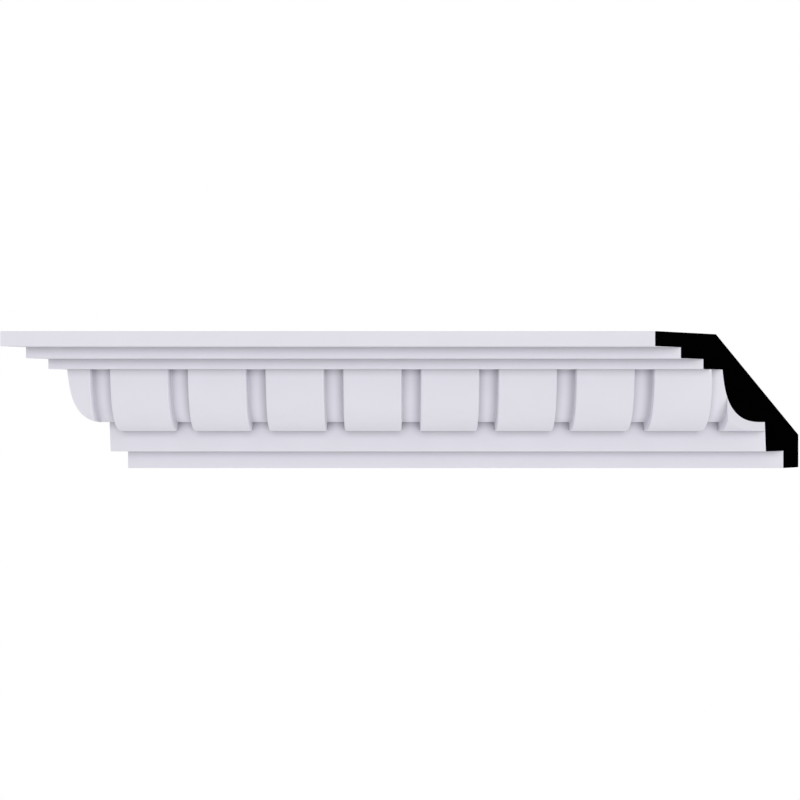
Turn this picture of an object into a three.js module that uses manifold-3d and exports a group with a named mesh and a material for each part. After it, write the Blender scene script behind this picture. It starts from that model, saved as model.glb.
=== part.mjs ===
// Cornice moulding length: a stepped crown with a row of ovolo teeth, mitred at both ends. Millimetres, +Z up.
// The wall face lies in the plane Y = 0 with the origin at its middle, and the show side faces -Y.
import * as THREE from "three";
import { mergeVertices } from "three/addons/utils/BufferGeometryUtils.js";
import Module from "manifold-3d";

const wasm = await Module();
wasm.setup();

// Section sizes: depths are measured back from the front plane, heights up from the bottom edge.
const PROJECTION = 136.5;
const HEIGHT = 134.4;
const WALL_FACE_HEIGHT = 34.0;
const CEILING_FACE_DEPTH = 54.2;
const TOP_FASCIA_FOOT = 120.3;
const SECOND_BAND_DEPTH = 22.3;
const SECOND_BAND_FOOT = 109.8;
const THIRD_BAND_DEPTH = 42.5;
const THIRD_BAND_FOOT = 100.1;
const LOWER_FASCIA_DEPTH = 101.6;
const LOWER_FASCIA_LEAN = 1.1;
const LOWER_FASCIA_FOOT = 17.9;
const BOTTOM_BAND_DEPTH = 120.6;

// The two ovolo curves, one for the ground between the teeth and one for the teeth themselves.
const GROUND = { top: 60.3, foot: 47.8, lean: 5.0, power: 2.9 };
const TOOTH = { top: 48.7, foot: 38.8, lean: 6.0, power: 2.75 };
const CURVE_STEPS = 16;

// The length of the front top edge, and how far each end cut leans outwards from square.
const FRONT_LENGTH = 609.3;
const LEFT_CUT_DEGREES = 37.2;
const RIGHT_CUT_DEGREES = 52.6;
const LEFT_MITRE = Math.tan(THREE.MathUtils.degToRad(LEFT_CUT_DEGREES));
const RIGHT_MITRE = Math.tan(THREE.MathUtils.degToRad(RIGHT_CUT_DEGREES));
const WALL_LENGTH = FRONT_LENGTH + (RIGHT_MITRE - LEFT_MITRE) * PROJECTION;
const FRONT_LEFT_X = -WALL_LENGTH / 2 - LEFT_MITRE * PROJECTION;
const FRONT_RIGHT_X = FRONT_LEFT_X + FRONT_LENGTH;

// The teeth, the first of which starts a little way in from the front's left corner.
const TOOTH_PITCH = 75.6;
const TOOTH_WIDTH = 56.5;
const FIRST_TOOTH_INSET = 14.35;

// How far the teeth's roots run into the solid behind them, and up under the third band.
const ROOT_BURY = 3.3;
const ROOT_RISE = 12.7;
const ROOT_OVERLAP = 2.0;

// The first tooth is coped back to the outline of the plain ground, at a small splay from square.
const COPE_SPLAY = 0.26;
const COPE_INSET = 0.1;

const yOf = (depth) => depth - PROJECTION;
const zOf = (height) => height - WALL_FACE_HEIGHT / 2;

function ovoloDepth(curve, height) {
  const drop = THREE.MathUtils.clamp((THIRD_BAND_FOOT - height) / (THIRD_BAND_FOOT - curve.foot), 0, 1);
  const round = 1 - Math.pow(1 - Math.pow(drop, curve.power), 1 / curve.power);
  const reach = LOWER_FASCIA_DEPTH - curve.top - curve.lean;
  return curve.top + curve.lean * drop + reach * round;
}

// Points down an ovolo, closer together where it turns under.
function ovoloPoints(curve) {
  const points = [];
  for (let i = 0; i <= CURVE_STEPS; i++) {
    const drop = Math.sin(((i / CURVE_STEPS) * Math.PI) / 2);
    const height = THIRD_BAND_FOOT - drop * (THIRD_BAND_FOOT - curve.foot);
    points.push([ovoloDepth(curve, height), height]);
  }
  return points;
}

function fasciaDepth(height) {
  const fall = (GROUND.foot - height) / (GROUND.foot - LOWER_FASCIA_FOOT);
  return LOWER_FASCIA_DEPTH + LOWER_FASCIA_LEAN * THREE.MathUtils.clamp(fall, 0, 1);
}

// A closed solid from two rings of points, the first ring's side being where the outline runs anticlockwise.
function loft(outline, nearRing, farRing) {
  const count = outline.length;
  const positions = [...nearRing, ...farRing].flat();
  const index = [];
  for (let i = 0; i < count; i++) {
    const j = (i + 1) % count;
    index.push(i, j, count + j, i, count + j, count + i);
  }
  const caps = THREE.ShapeUtils.triangulateShape(outline.map(([a, b]) => new THREE.Vector2(a, b)), []);
  for (const [a, b, c] of caps) {
    index.push(count + a, count + b, count + c);
    index.push(c, b, a);
  }
  const geometry = new THREE.BufferGeometry();
  geometry.setAttribute("position", new THREE.Float32BufferAttribute(positions, 3));
  geometry.setIndex(index);
  return geometry;
}

// A section run along X between two end planes, each given as X at the front plane and its change with depth.
function runBetween(section, left, right) {
  const ring = (plane) => section.map(([d, h]) => [plane.at + plane.slope * d, yOf(d), zOf(h)]);
  return solid(loft(section, ring(left), ring(right)));
}

// An outline in X and height run back through the depth of the moulding, moving sideways as it goes.
function runBack(outline, slope) {
  const ring = (depth) => outline.map(([x, h]) => [x + slope * depth, yOf(depth), zOf(h)]);
  return solid(loft(outline, ring(PROJECTION), ring(0)));
}

function solid(geometry) {
  const merged = mergeVertices(geometry, 1e-4);
  return new wasm.Manifold(
    new wasm.Mesh({
      numProp: 3,
      vertProperties: merged.attributes.position.array,
      triVerts: new Uint32Array(merged.index.array),
    }),
  );
}

const groundSection = [
  [BOTTOM_BAND_DEPTH, 0],
  [PROJECTION, 0],
  [PROJECTION, WALL_FACE_HEIGHT],
  [CEILING_FACE_DEPTH, HEIGHT],
  [0, HEIGHT],
  [0, TOP_FASCIA_FOOT],
  [SECOND_BAND_DEPTH, TOP_FASCIA_FOOT],
  [SECOND_BAND_DEPTH, SECOND_BAND_FOOT],
  [THIRD_BAND_DEPTH, SECOND_BAND_FOOT],
  [THIRD_BAND_DEPTH, THIRD_BAND_FOOT],
  ...ovoloPoints(GROUND),
  [fasciaDepth(LOWER_FASCIA_FOOT), LOWER_FASCIA_FOOT],
  [BOTTOM_BAND_DEPTH, LOWER_FASCIA_FOOT],
];

const rootDepth = LOWER_FASCIA_DEPTH + LOWER_FASCIA_LEAN + ROOT_BURY;
const toothSection = [
  [rootDepth, TOOTH.foot],
  [rootDepth, GROUND.foot + ROOT_RISE],
  [GROUND.top + 2 * ROOT_BURY, THIRD_BAND_FOOT + ROOT_OVERLAP],
  [TOOTH.top, THIRD_BAND_FOOT + ROOT_OVERLAP],
  ...ovoloPoints(TOOTH),
];

const leftEnd = { at: FRONT_LEFT_X, slope: LEFT_MITRE };
const rightEnd = { at: FRONT_RIGHT_X, slope: RIGHT_MITRE };

// The ground's own depth at each height that the teeth cover, for the coped end.
const copeHeights = [THIRD_BAND_FOOT + 2 * ROOT_OVERLAP];
for (const [, height] of ovoloPoints(GROUND)) copeHeights.push(height);
copeHeights.push(TOOTH.foot - ROOT_OVERLAP);
const groundDepth = (h) => (h < GROUND.foot ? fasciaDepth(h) : ovoloDepth(GROUND, h));

const copeX = (h) => leftEnd.at + COPE_INSET + (leftEnd.slope + COPE_SPLAY) * groundDepth(h);
const farRight = FRONT_RIGHT_X + FRONT_LENGTH;
const insideCope = runBack(
  [
    [farRight, copeHeights[copeHeights.length - 1]],
    [farRight, copeHeights[0]],
    ...copeHeights.map((h) => [copeX(h), h]),
  ],
  -COPE_SPLAY,
);
const insideLeftCut = runBetween(
  [
    [0, 0],
    [PROJECTION, 0],
    [PROJECTION, HEIGHT],
    [0, HEIGHT],
  ],
  { at: leftEnd.at + COPE_INSET, slope: leftEnd.slope },
  { at: farRight, slope: 0 },
);

const teeth = [];
const firstToothX = FRONT_LEFT_X + FIRST_TOOTH_INSET;
const lastToothX = FRONT_RIGHT_X + RIGHT_MITRE * LOWER_FASCIA_DEPTH;
for (let x = firstToothX; x < lastToothX; x += TOOTH_PITCH) {
  teeth.push(runBetween(toothSection, { at: x, slope: 0 }, { at: x + TOOTH_WIDTH, slope: 0 }));
}
const toothRow = wasm.Manifold.union(teeth).intersect(insideCope).intersect(insideLeftCut);

// The right end is cut last, in one plane straight through the ground and the tooth that stands there.
const pastRightEnd = { at: rightEnd.at + TOOTH_PITCH, slope: rightEnd.slope };
const uncut = runBetween(groundSection, leftEnd, pastRightEnd).add(toothRow);
const wallRightX = rightEnd.at + rightEnd.slope * PROJECTION;
const body = uncut.trimByPlane([-1, rightEnd.slope, 0], -wallRightX / Math.hypot(1, rightEnd.slope));

function meshFrom(made, name, colour) {
  const data = made.getMesh();
  const geometry = new THREE.BufferGeometry();
  geometry.setAttribute("position", new THREE.Float32BufferAttribute(data.vertProperties, data.numProp));
  geometry.setIndex(Array.from(data.triVerts));
  geometry.computeVertexNormals();
  const mesh = new THREE.Mesh(geometry, new THREE.MeshStandardMaterial({ color: colour, roughness: 0.8 }));
  mesh.name = name;
  return mesh;
}

const moulding = new THREE.Group();
moulding.name = "cornice_moulding_length";
moulding.add(meshFrom(body, "moulding", 0xe6e5ec));

export default moulding;
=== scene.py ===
import math
from collections import namedtuple

import bmesh
import bpy
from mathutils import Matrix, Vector


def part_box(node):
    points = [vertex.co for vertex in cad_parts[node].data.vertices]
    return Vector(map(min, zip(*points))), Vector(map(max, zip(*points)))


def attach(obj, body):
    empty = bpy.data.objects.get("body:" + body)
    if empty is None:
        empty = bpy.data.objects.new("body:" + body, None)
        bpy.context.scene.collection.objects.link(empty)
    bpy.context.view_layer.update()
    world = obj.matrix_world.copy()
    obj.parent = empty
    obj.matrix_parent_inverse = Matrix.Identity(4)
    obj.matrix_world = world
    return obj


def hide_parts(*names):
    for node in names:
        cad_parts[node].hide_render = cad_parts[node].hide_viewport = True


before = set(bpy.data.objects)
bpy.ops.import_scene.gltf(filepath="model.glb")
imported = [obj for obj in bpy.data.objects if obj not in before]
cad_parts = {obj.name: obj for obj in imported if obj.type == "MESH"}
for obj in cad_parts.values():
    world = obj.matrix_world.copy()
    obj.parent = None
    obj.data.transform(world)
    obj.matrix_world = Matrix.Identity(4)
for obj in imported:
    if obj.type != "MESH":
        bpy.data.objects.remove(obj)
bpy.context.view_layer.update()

# Sizes are in millimetres until a vertex or an object is placed. Depths run back from the front plane,
# and heights up from the bottom edge, as the moulding's own drawing would give them.
MM = 0.001
LOW, HIGH = [Vector(corner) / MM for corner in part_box("moulding")]
PROJECTION = -LOW.y
HEIGHT = HIGH.z - LOW.z
FRONT_LEFT_X = LOW.x

WALL_FACE_HEIGHT = -2 * LOW.z
CEILING_FACE_DEPTH = 54.2
TOP_FASCIA_FOOT = 120.3
SECOND_BAND_DEPTH = 22.3
SECOND_BAND_FOOT = 109.8
THIRD_BAND_DEPTH = 42.5
THIRD_BAND_FOOT = 100.1
LOWER_FASCIA_DEPTH = 101.6
LOWER_FASCIA_LEAN = 1.1
LOWER_FASCIA_FOOT = 17.9
BOTTOM_BAND_DEPTH = 120.6

# The two ovolo curves, one for the ground between the teeth and one for the teeth themselves.
GROUND = {"top": 60.3, "foot": 47.8, "lean": 5.0, "power": 2.9}
TOOTH = {"top": 48.7, "foot": 38.8, "lean": 6.0, "power": 2.75}

# The two end cuts lean outwards from square, and the first tooth is coped back to the ground's outline.
FRONT_LENGTH = 609.3
LEFT_CUT_DEGREES = 37.2
RIGHT_CUT_DEGREES = 52.6
LEFT_MITRE = math.tan(math.radians(LEFT_CUT_DEGREES))
RIGHT_MITRE = math.tan(math.radians(RIGHT_CUT_DEGREES))
FRONT_RIGHT_X = FRONT_LEFT_X + FRONT_LENGTH
COPE_SPLAY = 0.26

TOOTH_PITCH = 75.6
TOOTH_WIDTH = 56.5
TOOTH_PROUD = 10.0
TOOTH_COUNT = 10
FIRST_TOOTH_INSET = 14.35
FIRST_TOOTH_X = FRONT_LEFT_X + FIRST_TOOTH_INSET

# A tooth that no end cut goes through stands at its full rise, with its full width at the top.
WHOLE_TOOTH = (1.0, TOOTH_WIDTH)

# The softness of the moulded edges. Past its margin from a tooth's wall, an arris or a crease has ended.
ARRIS = 0.7
EDGE_SUPPORT = 0.35
TOOTH_ARRIS = 0.9
TOOTH_CREASE = 0.6
TOOTH_FLARE = 0.7
ARRIS_MARGIN = TOOTH_ARRIS + 1.0
CREASE_MARGIN = 2.5 * TOOTH_CREASE

# How finely the skin is divided, and where its shading turns sharp.
ARC_STEPS = 4
CURVE_ROWS = 56
COPE_COLUMNS = 5
WALL_STEPS = 3
TOOTH_COLUMNS = 6
GROOVE_COLUMNS = 4
HALVINGS = 30
MERGE_METRES = 1e-7
SHARP_DEGREES = 34

# The primer: its two faint tints, the mottle between them, and the grain of its skin.
PRIMER_DEEP = Vector((0.852, 0.843, 0.912))
PRIMER_PALE = Vector((0.868, 0.859, 0.928))
MOTTLE_SCALE = 28.0
PRIMER_GRAIN_SCALE = 1400.0

# Painted shade: how far from a crease ambient occlusion darkens the primer's colour, and how strongly.
PAINTED_SHADE_REACH = 8.5
PAINTED_SHADE_POWER = 0.58

# The cut face of the last tooth has painted shade: the primer's colour made a little darker, against the
# extra light it catches from the right.
CUT_FACE_SHADE_PALENESS = 0.95

# The sealed black of the end cuts.
CUT_DEEP = Vector((0.0002, 0.0002, 0.0002))
CUT_PALE = Vector((0.0008, 0.0008, 0.0008))
CUT_GRAIN_SCALE = 900.0

# How deep the grain of either finish is, before its strength.
GRAIN_DEPTH_METRES = 0.0002

# The surround: one even light, and broad soft lights as direction, sharpness and strength.
EVEN_LIGHT = 0.465
SOFT_LIGHTS = [
    ((0, -1, 0), 16.0, 0.24),
    ((0, -1, 0), 3.0, 0.36),
    ((0.75, -0.66, 0), 8.0, 0.75),
    ((0, -0.66, 0.75), 8.0, 0.32),
    ((0, -0.66, -0.75), 8.0, 0.6),
    ((0.6, -0.6, 0.6), 20.0, 0.32),
    ((0, 0.35, 1), 6.0, 1.0),
]

# The floor lies well below the moulding, and is small enough to stay out of the photograph's view.
FLOOR_RADIUS_METRES = 2.0
FLOOR_DROP_METRES = 1.4
FLOOR_COLOUR = (0.95, 0.95, 0.96, 1)

# The camera looks straight at the wall from in front of the photograph's middle.
CAMERA_X = -73.8
CAMERA_HEIGHT = 70.2
CAMERA_DISTANCE = 1116.5
LENS = 54.0
SENSOR = 36.0


def clamp(value, low, high):
    return max(low, min(high, value))


def mix(a, b, t):
    return a + (b - a) * t


def ovolo_depth(curve, height):
    drop = clamp((THIRD_BAND_FOOT - height) / (THIRD_BAND_FOOT - curve["foot"]), 0, 1)
    turn = 1 - (1 - drop ** curve["power"]) ** (1 / curve["power"])
    reach = LOWER_FASCIA_DEPTH - curve["top"] - curve["lean"]
    return curve["top"] + curve["lean"] * drop + reach * turn


def ovolo_point(curve, step):
    """A point on the curve, from step 0 at the top to 1 at the foot, closer together where it turns under."""
    drop = math.sin(step * math.pi / 2)
    height = THIRD_BAND_FOOT - drop * (THIRD_BAND_FOOT - curve["foot"])
    return Vector((ovolo_depth(curve, height), height))


def fascia_depth(height):
    fall = (GROUND["foot"] - height) / (GROUND["foot"] - LOWER_FASCIA_FOOT)
    return LOWER_FASCIA_DEPTH + LOWER_FASCIA_LEAN * clamp(fall, 0, 1)


def ground_depth(height):
    if height < GROUND["foot"]:
        return fascia_depth(height)
    return ovolo_depth(GROUND, height)


def round_corner(before, corner, after, radius):
    """An arc in place of a corner of the section, with a point a little way along each side of it."""
    u = (before - corner).normalized()
    v = (after - corner).normalized()
    half = u.angle(v) / 2
    reach = radius / math.tan(half)
    centre = corner + (u + v).normalized() * radius / math.sin(half)
    start = corner + u * reach
    end = corner + v * reach
    points = [corner + u * (reach + EDGE_SUPPORT)]
    first = start - centre
    turn = first.angle_signed(end - centre)
    for i in range(ARC_STEPS + 1):
        angle = -turn * i / ARC_STEPS
        c, s = math.cos(angle), math.sin(angle)
        points.append(centre + Vector((first.x * c - first.y * s, first.x * s + first.y * c)))
    points.append(corner + v * (reach + EDGE_SUPPORT))
    return points


def fixed_rows():
    """The section's points that are the same all along, round from the lower fascia to the third band."""
    corners = [
        (LOWER_FASCIA_DEPTH, GROUND["foot"], 0),
        (fascia_depth(LOWER_FASCIA_FOOT), LOWER_FASCIA_FOOT, ARRIS),
        (BOTTOM_BAND_DEPTH, LOWER_FASCIA_FOOT, 0),
        (BOTTOM_BAND_DEPTH, 0, ARRIS),
        (PROJECTION, 0, ARRIS),
        (PROJECTION, WALL_FACE_HEIGHT, ARRIS),
        (CEILING_FACE_DEPTH, HEIGHT, ARRIS),
        (0, HEIGHT, ARRIS),
        (0, TOP_FASCIA_FOOT, ARRIS),
        (SECOND_BAND_DEPTH, TOP_FASCIA_FOOT, 0),
        (SECOND_BAND_DEPTH, SECOND_BAND_FOOT, ARRIS),
        (THIRD_BAND_DEPTH, SECOND_BAND_FOOT, 0),
        (THIRD_BAND_DEPTH, THIRD_BAND_FOOT, ARRIS),
        (GROUND["top"], THIRD_BAND_FOOT, 0),
    ]
    points = [Vector((depth, height)) for depth, height, _ in corners]
    rows = []
    for i in range(1, len(corners) - 1):
        radius = corners[i][2]
        if radius:
            rows += round_corner(points[i - 1], points[i], points[i + 1], radius)
        else:
            rows.append(points[i])
    return rows


def left_end(depth):
    return FRONT_LEFT_X + LEFT_MITRE * depth


def right_end(depth):
    return FRONT_RIGHT_X + RIGHT_MITRE * depth


def left_cope(point):
    """The first tooth's end, cut back to the outline of the plain ground."""
    g = ground_depth(point.y)
    return left_end(g) + COPE_SPLAY * (g - point.x)


def wall_x(tooth, side, rise):
    """Where a tooth's side wall stands at a share of its rise: side -1 is its left wall and 1 its right."""
    edge = FIRST_TOOTH_X + tooth * TOOTH_PITCH + (TOOTH_WIDTH if side > 0 else 0)
    return edge + side * TOOTH_FLARE * (1 - rise)


def wall_stations():
    """Steps across a side wall from groove to tooth, as pairs of inward offset and rise."""
    crease = TOOTH_CREASE / TOOTH_PROUD
    arris = TOOTH_ARRIS / TOOTH_PROUD
    angles = [i / ARC_STEPS * math.pi / 2 for i in range(ARC_STEPS + 1)]
    stations = [(-CREASE_MARGIN, 0.0)]
    stations += [(TOOTH_CREASE * (math.sin(a) - 1), crease * (1 - math.cos(a))) for a in angles]
    stations += [(0.0, mix(crease, 1 - arris, i / WALL_STEPS)) for i in range(1, WALL_STEPS)]
    stations += [(TOOTH_ARRIS * (1 - math.cos(a)), 1 - arris * (1 - math.sin(a))) for a in angles]
    stations.append((ARRIS_MARGIN, 1.0))
    return stations


# A ring of the skin round the section. Its place is an inward offset on a wall, or a share of the way over a
# tooth's top or a groove. Its rise is 0 on the ground and 1 on the teeth's face.
Column = namedtuple("Column", "kind tooth side place rise")


def end_columns(side):
    """The columns that stand on an end cut, from the ground's edge up the tooth that the cut goes through."""
    tooth = 0 if side < 0 else TOOTH_COUNT - 1
    rises = [i / COPE_COLUMNS for i in range(COPE_COLUMNS + 1)]
    copes = [Column("cope", tooth, side, 0.0, rise) for rise in rises]
    return [Column("end", tooth, side, 0.0, 0.0)] + copes


def all_columns():
    """Every column of the skin, from the left end to the right."""
    walls = wall_stations()
    made = end_columns(-1)
    for tooth in range(TOOTH_COUNT):
        if tooth > 0:
            made += [Column("wall", tooth, -1, offset, rise) for offset, rise in walls]
        made += [Column("top", tooth, 0, i / TOOTH_COLUMNS, 1.0) for i in range(1, TOOTH_COLUMNS)]
        if tooth < TOOTH_COUNT - 1:
            made += [Column("wall", tooth, 1, offset, rise) for offset, rise in reversed(walls)]
            made += [Column("groove", tooth, 0, i / GROOVE_COLUMNS, 0.0) for i in range(1, GROOVE_COLUMNS)]
    return made + end_columns(1)[::-1]


def end_tooth_left(tooth, step):
    """What an end cut leaves of its tooth at a row: how far up it stands, and its width at full rise."""
    ground = ovolo_point(GROUND, step)
    top = ovolo_point(TOOTH, step)

    def width(rise):
        point = ground.lerp(top, rise)
        if tooth == 0:
            return wall_x(0, 1, rise) - left_cope(point)
        return right_end(point.x) - wall_x(tooth, -1, rise)

    top_width = width(1.0)
    if top_width > 0:
        return 1.0, top_width
    if width(0.0) <= 0:
        return 0.0, 0.0
    low, high = 0.0, 1.0
    for _ in range(HALVINGS):
        middle = (low + high) / 2
        if width(middle) > 0:
            low = middle
        else:
            high = middle
    return low, 0.0


def column_x(column, limit, top_width):
    """A column's own place along X, before the ends cut it. What a cut leaves of a wall has no soft arris."""
    if column.kind in ("end", "cope"):
        return column.side * math.inf
    tooth = column.tooth
    if column.kind == "wall":
        offset = min(column.place, top_width)
        return wall_x(tooth, column.side, column.rise * limit) - column.side * offset
    if column.kind == "top":
        start = wall_x(tooth, -1, 1.0) + ARRIS_MARGIN
        return mix(start, wall_x(tooth, 1, 1.0) - ARRIS_MARGIN, column.place)
    start = wall_x(tooth, 1, 0.0) + CREASE_MARGIN
    return mix(start, wall_x(tooth + 1, -1, 0.0) - CREASE_MARGIN, column.place)


def column_ring(column, steps, end_teeth, fixed):
    """A column's vertices in metres, down the ovolo first and then round the rest of the section."""
    ring = []
    for i, step in enumerate(steps):
        limit, top_width = end_teeth[column.tooth][i] if column.tooth in end_teeth else WHOLE_TOOTH
        x = column_x(column, limit, top_width)
        point = ovolo_point(GROUND, step).lerp(ovolo_point(TOOTH, step), column.rise * limit)
        ring.append((clamp(x, left_cope(point), right_end(point.x)), point))
    x = column_x(column, *WHOLE_TOOTH)
    foot = ring[-1][1].y
    below = [Vector((fascia_depth(height), height)) for height in (foot, foot - EDGE_SUPPORT)]
    for point in below + fixed:
        ring.append((clamp(x, left_end(point.x), right_end(point.x)), point))
    return [Vector((x, point.x - PROJECTION, point.y + LOW.z)) * MM for x, point in ring]


def relief_mesh():
    """The moulding's whole skin. Material 0 is primed foam, 1 the black end cuts, 2 the last tooth's cut,
    which is the primer with painted shade.
    """
    steps = [i / CURVE_ROWS for i in range(CURVE_ROWS + 1)]
    end_teeth = {tooth: [end_tooth_left(tooth, step) for step in steps] for tooth in (0, TOOTH_COUNT - 1)}
    fixed = fixed_rows()
    columns = all_columns()
    mesh = bmesh.new()
    grid = [[mesh.verts.new(v) for v in column_ring(column, steps, end_teeth, fixed)] for column in columns]
    count = len(grid[0])
    for column, near, far in zip(columns, grid, grid[1:]):
        # The last tooth's cut face takes the primer with painted shade, a little darker.
        painted_shade_face = column.kind == "cope" and column.side > 0
        for i in range(count):
            j = (i + 1) % count
            face = mesh.faces.new((near[i], near[j], far[j], far[i]))
            face.material_index = 2 if painted_shade_face else 0
    caps = [mesh.faces.new(grid[0][::-1]), mesh.faces.new(grid[-1])]
    for cap in caps:
        cap.material_index = 1
    mesh.normal_update()
    bmesh.ops.triangulate(mesh, faces=caps, ngon_method="EAR_CLIP")
    bmesh.ops.remove_doubles(mesh, verts=mesh.verts[:], dist=MERGE_METRES)
    bmesh.ops.recalc_face_normals(mesh, faces=mesh.faces[:])
    return mesh


def shader(name):
    material = bpy.data.materials.new(name)
    material.use_nodes = True
    nodes = material.node_tree.nodes
    return material, nodes, material.node_tree.links, nodes["Principled BSDF"]


def maths(nodes, links, operation, first, second):
    """The result of one operation on a node's output and a number or another output."""
    node = nodes.new("ShaderNodeMath")
    node.operation = operation
    links.new(first, node.inputs[0])
    if isinstance(second, float):
        node.inputs[1].default_value = second
    else:
        links.new(second, node.inputs[1])
    return node.outputs[0]


def noise(nodes, links, where, scale, detail):
    made = nodes.new("ShaderNodeTexNoise")
    made.inputs["Scale"].default_value = scale
    made.inputs["Detail"].default_value = detail
    links.new(where.outputs["Object"], made.inputs["Vector"])
    return made.outputs["Fac"]


def tint(nodes, links, pattern, low, deep, high, pale):
    """A colour that goes from deep to pale as the pattern goes from low to high."""
    ramp = nodes.new("ShaderNodeValToRGB")
    for element, place, colour in zip(ramp.color_ramp.elements, (low, high), (deep, pale)):
        element.position = place
        element.color = (*colour, 1)
    links.new(pattern, ramp.inputs["Fac"])
    return ramp.outputs["Color"]


def roughen(nodes, links, bsdf, grain, strength):
    bump = nodes.new("ShaderNodeBump")
    bump.inputs["Strength"].default_value = strength
    bump.inputs["Distance"].default_value = GRAIN_DEPTH_METRES
    links.new(grain, bump.inputs["Height"])
    links.new(bump.outputs["Normal"], bsdf.inputs["Normal"])


def pale_foam(name, paleness):
    """Matte white with a faint cool cast, hardly mottled, with shade painted into its colour in the creases.
    """
    material, nodes, links, bsdf = shader(name)
    where = nodes.new("ShaderNodeTexCoord")
    mottle = noise(nodes, links, where, MOTTLE_SCALE, 4.0)
    colour = tint(nodes, links, mottle, 0.3, PRIMER_DEEP * paleness, 0.7, PRIMER_PALE * paleness)
    # Painted shade: ambient occlusion within a short reach darkens the base colour in creases and recesses.
    painted_shade_occlusion = nodes.new("ShaderNodeAmbientOcclusion")
    painted_shade_occlusion.samples = 16
    painted_shade_occlusion.only_local = True
    painted_shade_occlusion.inputs["Distance"].default_value = PAINTED_SHADE_REACH * MM
    painted_shade_colour = nodes.new("ShaderNodeVectorMath")
    painted_shade_colour.operation = "SCALE"
    links.new(colour, painted_shade_colour.inputs[0])
    painted_shade_factor = maths(nodes, links, "POWER", painted_shade_occlusion.outputs["AO"], PAINTED_SHADE_POWER)
    links.new(painted_shade_factor, painted_shade_colour.inputs["Scale"])
    links.new(painted_shade_colour.outputs[0], bsdf.inputs["Base Color"])
    roughen(nodes, links, bsdf, noise(nodes, links, where, PRIMER_GRAIN_SCALE, 3.0), 0.04)
    bsdf.inputs["Roughness"].default_value = 0.75
    bsdf.inputs["Specular IOR Level"].default_value = 0.15
    return material


def blackened_cut():
    """The sawn end, sealed dead black, with the cut's fine tooth."""
    material, nodes, links, bsdf = shader("blackened_cut")
    where = nodes.new("ShaderNodeTexCoord")
    grain = noise(nodes, links, where, CUT_GRAIN_SCALE, 4.0)
    links.new(tint(nodes, links, grain, 0.0, CUT_DEEP, 1.0, CUT_PALE), bsdf.inputs["Base Color"])
    roughen(nodes, links, bsdf, grain, 0.1)
    bsdf.inputs["Roughness"].default_value = 0.95
    bsdf.inputs["Specular IOR Level"].default_value = 0.0
    return material


def make_relief():
    built = relief_mesh()
    data = bpy.data.meshes.new("moulding_relief")
    built.to_mesh(data)
    built.free()
    data.materials.append(pale_foam("primed_foam", 1.0))
    data.materials.append(blackened_cut())
    # Painted shade: a darker copy of the primer for the last tooth's cut face, which faces the light from the
    # right.
    data.materials.append(pale_foam("tooth_cut_painted_shade", CUT_FACE_SHADE_PALENESS))
    data.polygons.foreach_set("use_smooth", [True] * len(data.polygons))
    data.set_sharp_from_angle(angle=math.radians(SHARP_DEGREES))
    piece = bpy.data.objects.new("moulding_relief", data)
    bpy.context.scene.collection.objects.link(piece)
    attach(piece, "root")
    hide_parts("moulding")


def make_camera():
    data = bpy.data.cameras.new("camera")
    data.lens = LENS
    data.sensor_width = SENSOR
    camera = bpy.data.objects.new("camera", data)
    bpy.context.scene.collection.objects.link(camera)
    camera.location = Vector((CAMERA_X, -PROJECTION - CAMERA_DISTANCE, CAMERA_HEIGHT + LOW.z)) * MM
    camera.rotation_euler = (math.pi / 2, 0, 0)
    bpy.context.scene.camera = camera


def make_floor():
    bpy.ops.mesh.primitive_circle_add(
        vertices=96, radius=FLOOR_RADIUS_METRES, fill_type="NGON", location=(0, 0, -FLOOR_DROP_METRES)
    )
    floor = bpy.context.object
    floor.name = "floor"
    material, _, _, bsdf = shader("pale_floor")
    bsdf.inputs["Base Color"].default_value = FLOOR_COLOUR
    bsdf.inputs["Roughness"].default_value = 0.9
    floor.data.materials.append(material)


def soft_light(nodes, links, where, direction, sharpness, strength):
    """A patch of the surround that is brightest one way and falls off round it."""
    facing = nodes.new("ShaderNodeVectorMath")
    facing.operation = "DOT_PRODUCT"
    facing.inputs[1].default_value = Vector(direction).normalized()
    links.new(where.outputs["Generated"], facing.inputs[0])
    ahead = maths(nodes, links, "MAXIMUM", facing.outputs["Value"], 0.0)
    narrowed = maths(nodes, links, "POWER", ahead, sharpness)
    return maths(nodes, links, "MULTIPLY", narrowed, strength)


def make_light():
    """An even white surround, which the camera sees as pure white, with broad soft lights in it."""
    world = bpy.data.worlds.new("surround")
    bpy.context.scene.world = world
    world.use_nodes = True
    nodes = world.node_tree.nodes
    links = world.node_tree.links
    nodes.clear()
    seen = nodes.new("ShaderNodeBackground")
    seen.inputs["Strength"].default_value = 1.0
    seen.inputs["Color"].default_value = (1, 1, 1, 1)
    lit = nodes.new("ShaderNodeBackground")
    lit.inputs["Color"].default_value = (1, 1, 1, 1)
    where = nodes.new("ShaderNodeTexCoord")
    total = EVEN_LIGHT
    for direction, sharpness, strength in SOFT_LIGHTS:
        part = soft_light(nodes, links, where, direction, sharpness, strength)
        total = maths(nodes, links, "ADD", part, total)
    links.new(total, lit.inputs["Strength"])
    rays = nodes.new("ShaderNodeLightPath")
    choose = nodes.new("ShaderNodeMixShader")
    output = nodes.new("ShaderNodeOutputWorld")
    links.new(rays.outputs["Is Camera Ray"], choose.inputs["Fac"])
    links.new(lit.outputs[0], choose.inputs[1])
    links.new(seen.outputs[0], choose.inputs[2])
    links.new(choose.outputs[0], output.inputs["Surface"])


def set_colour():
    view = bpy.context.scene.view_settings
    view.view_transform = "Standard"
    view.look = "None"
    view.exposure = 0.0
    view.gamma = 1.0


make_camera()
make_relief()
make_floor()
make_light()
set_colour()
